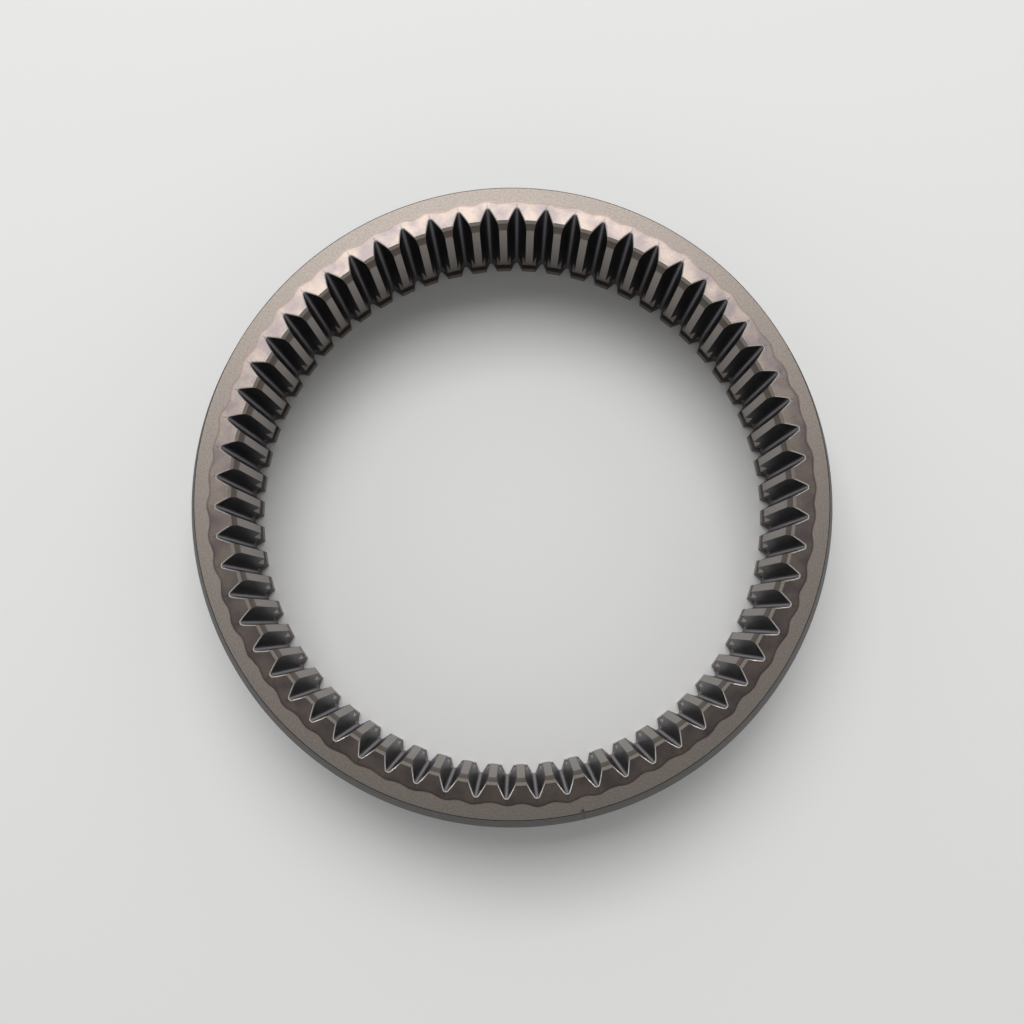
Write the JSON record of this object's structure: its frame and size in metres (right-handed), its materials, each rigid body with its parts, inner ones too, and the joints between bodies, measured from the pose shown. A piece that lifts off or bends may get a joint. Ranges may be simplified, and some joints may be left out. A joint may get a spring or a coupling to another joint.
{
  "type": "internal ring gear",
  "caption": "Thick steel ring with straight involute teeth inside, a lead-in taper outside and a hub seat with a retaining-ring groove at the lower end.",
  "frame": {"origin": "centre of the ring at its lower end face, where the hub seat opens", "axes": "+Z along the gear's axis, from the hub end to the end with the long lead-in taper; one tooth space lies on +X"},
  "size_m": [0.218, 0.218, 0.061],
  "materials": {
    "hardened_steel": "turned and induction hardened, lightly oiled"
  },
  "bodies": {
    "root": {"ring_gear": "hardened_steel"}
  },
  "joints": []
}
